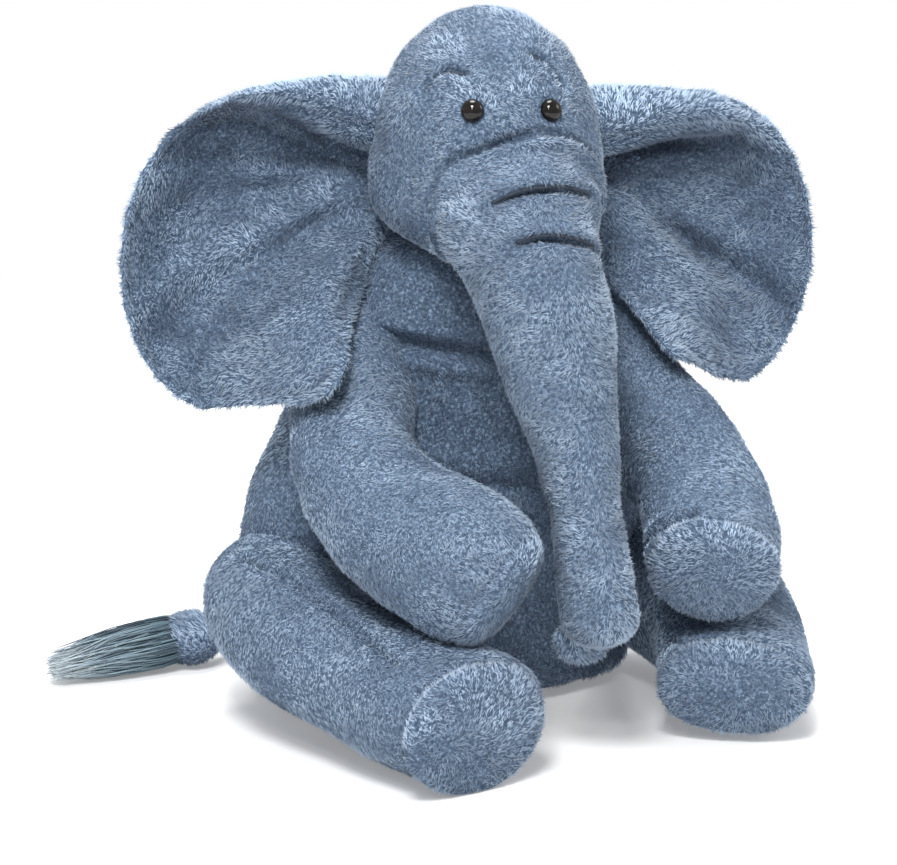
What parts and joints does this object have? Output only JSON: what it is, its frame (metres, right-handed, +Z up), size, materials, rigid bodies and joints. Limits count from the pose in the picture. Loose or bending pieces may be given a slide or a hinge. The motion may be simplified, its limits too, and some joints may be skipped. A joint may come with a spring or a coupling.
{
  "type": "stuffed elephant",
  "caption": "Sitting stuffed elephant in blue-grey plush, with wide ears, a long hanging trunk, bead eyes and a tasselled tail.",
  "frame": {"origin": "on the surface it sits on, under the middle of the torso", "axes": "+Z up, -Y the way the belly faces, +X the elephant's left"},
  "size_m": [0.3274, 0.2524, 0.314],
  "materials": {
    "plush": "short pile plush",
    "tassel_hair": "long silky hair",
    "filling": "loose fibre filling",
    "bean_pouch": "plain woven pouch",
    "eye_bead": "polished black",
    "eye_washer": "plain white",
    "thread": "sewing thread"
  },
  "bodies": {
    "torso": {"seat_pouch": "bean_pouch", "torso_filling": "filling", "torso_skin": "plush"},
    "head": {"brow_stitch_left": "thread", "brow_stitch_right": "thread", "eye_left": "eye_bead", "eye_right": "eye_bead", "eye_washer_left": "eye_washer", "eye_washer_right": "eye_washer", "head_filling": "filling", "head_skin": "plush"},
    "trunk": {"trunk_crease_stitch_lower": "thread", "trunk_crease_stitch_upper": "thread", "trunk_filling": "filling", "trunk_skin": "plush", "trunk_tip_flap": "plush"},
    "ear_left": {"ear_left_back": "plush", "ear_left_front": "plush", "ear_left_wadding": "filling"},
    "ear_right": {"ear_right_back": "plush", "ear_right_front": "plush", "ear_right_wadding": "filling"},
    "arm_left": {"arm_left_filling": "filling", "arm_left_pad": "plush", "arm_left_pouch": "bean_pouch", "arm_left_skin": "plush"},
    "arm_right": {"arm_right_filling": "filling", "arm_right_pad": "plush", "arm_right_pouch": "bean_pouch", "arm_right_skin": "plush"},
    "leg_left": {"leg_left_filling": "filling", "leg_left_pouch": "bean_pouch", "leg_left_skin": "plush", "leg_left_sole": "plush"},
    "leg_right": {"leg_right_filling": "filling", "leg_right_pouch": "bean_pouch", "leg_right_skin": "plush", "leg_right_sole": "plush"},
    "tail": {"tail_filling": "filling", "tail_skin": "plush", "tail_tassel": "tassel_hair", "tail_tie": "thread"}
  },
  "joints": [
    {"name": "head_nod", "type": "hinge", "parent": "torso", "child": "head", "pos_m": [0, 0.004, 0.204], "axis": [-1, 0, 0], "range_deg": [0, 22]},
    {"name": "trunk_swing", "type": "hinge", "parent": "head", "child": "trunk", "pos_m": [0, -0.052, 0.236], "axis": [-1, 0, 0], "range_deg": [0, 30]},
    {"name": "ear_left_flap", "type": "hinge", "parent": "head", "child": "ear_left", "pos_m": [0.05237, -0.01096, 0.244], "axis": [0, 0, -1], "range_deg": [-2, 18]},
    {"name": "ear_right_flap", "type": "hinge", "parent": "head", "child": "ear_right", "pos_m": [-0.04611, 0.00641, 0.244], "axis": [0, 0, 1], "range_deg": [-2, 18]},
    {"name": "arm_left_raise", "type": "hinge", "parent": "torso", "child": "arm_left", "pos_m": [0.05, 0.004, 0.17], "axis": [-0.3396, 0.6292, 0.6991], "range_deg": [0, 35]},
    {"name": "arm_right_raise", "type": "hinge", "parent": "torso", "child": "arm_right", "pos_m": [-0.05, 0.006, 0.17], "axis": [-0.2997, -0.6594, -0.6894], "range_deg": [0, 35]},
    {"name": "leg_left_spread", "type": "hinge", "parent": "torso", "child": "leg_left", "pos_m": [0.088, 0.016, 0.046], "axis": [0, 0, 1], "range_deg": [0, 16]},
    {"name": "leg_right_spread", "type": "hinge", "parent": "torso", "child": "leg_right", "pos_m": [-0.088, 0.016, 0.046], "axis": [0, 0, -1], "range_deg": [0, 16]},
    {"name": "tail_wag", "type": "hinge", "parent": "torso", "child": "tail", "pos_m": [-0.014, 0.084, 0.03], "axis": [0, 0, -1], "range_deg": [-4, 45]}
  ]
}
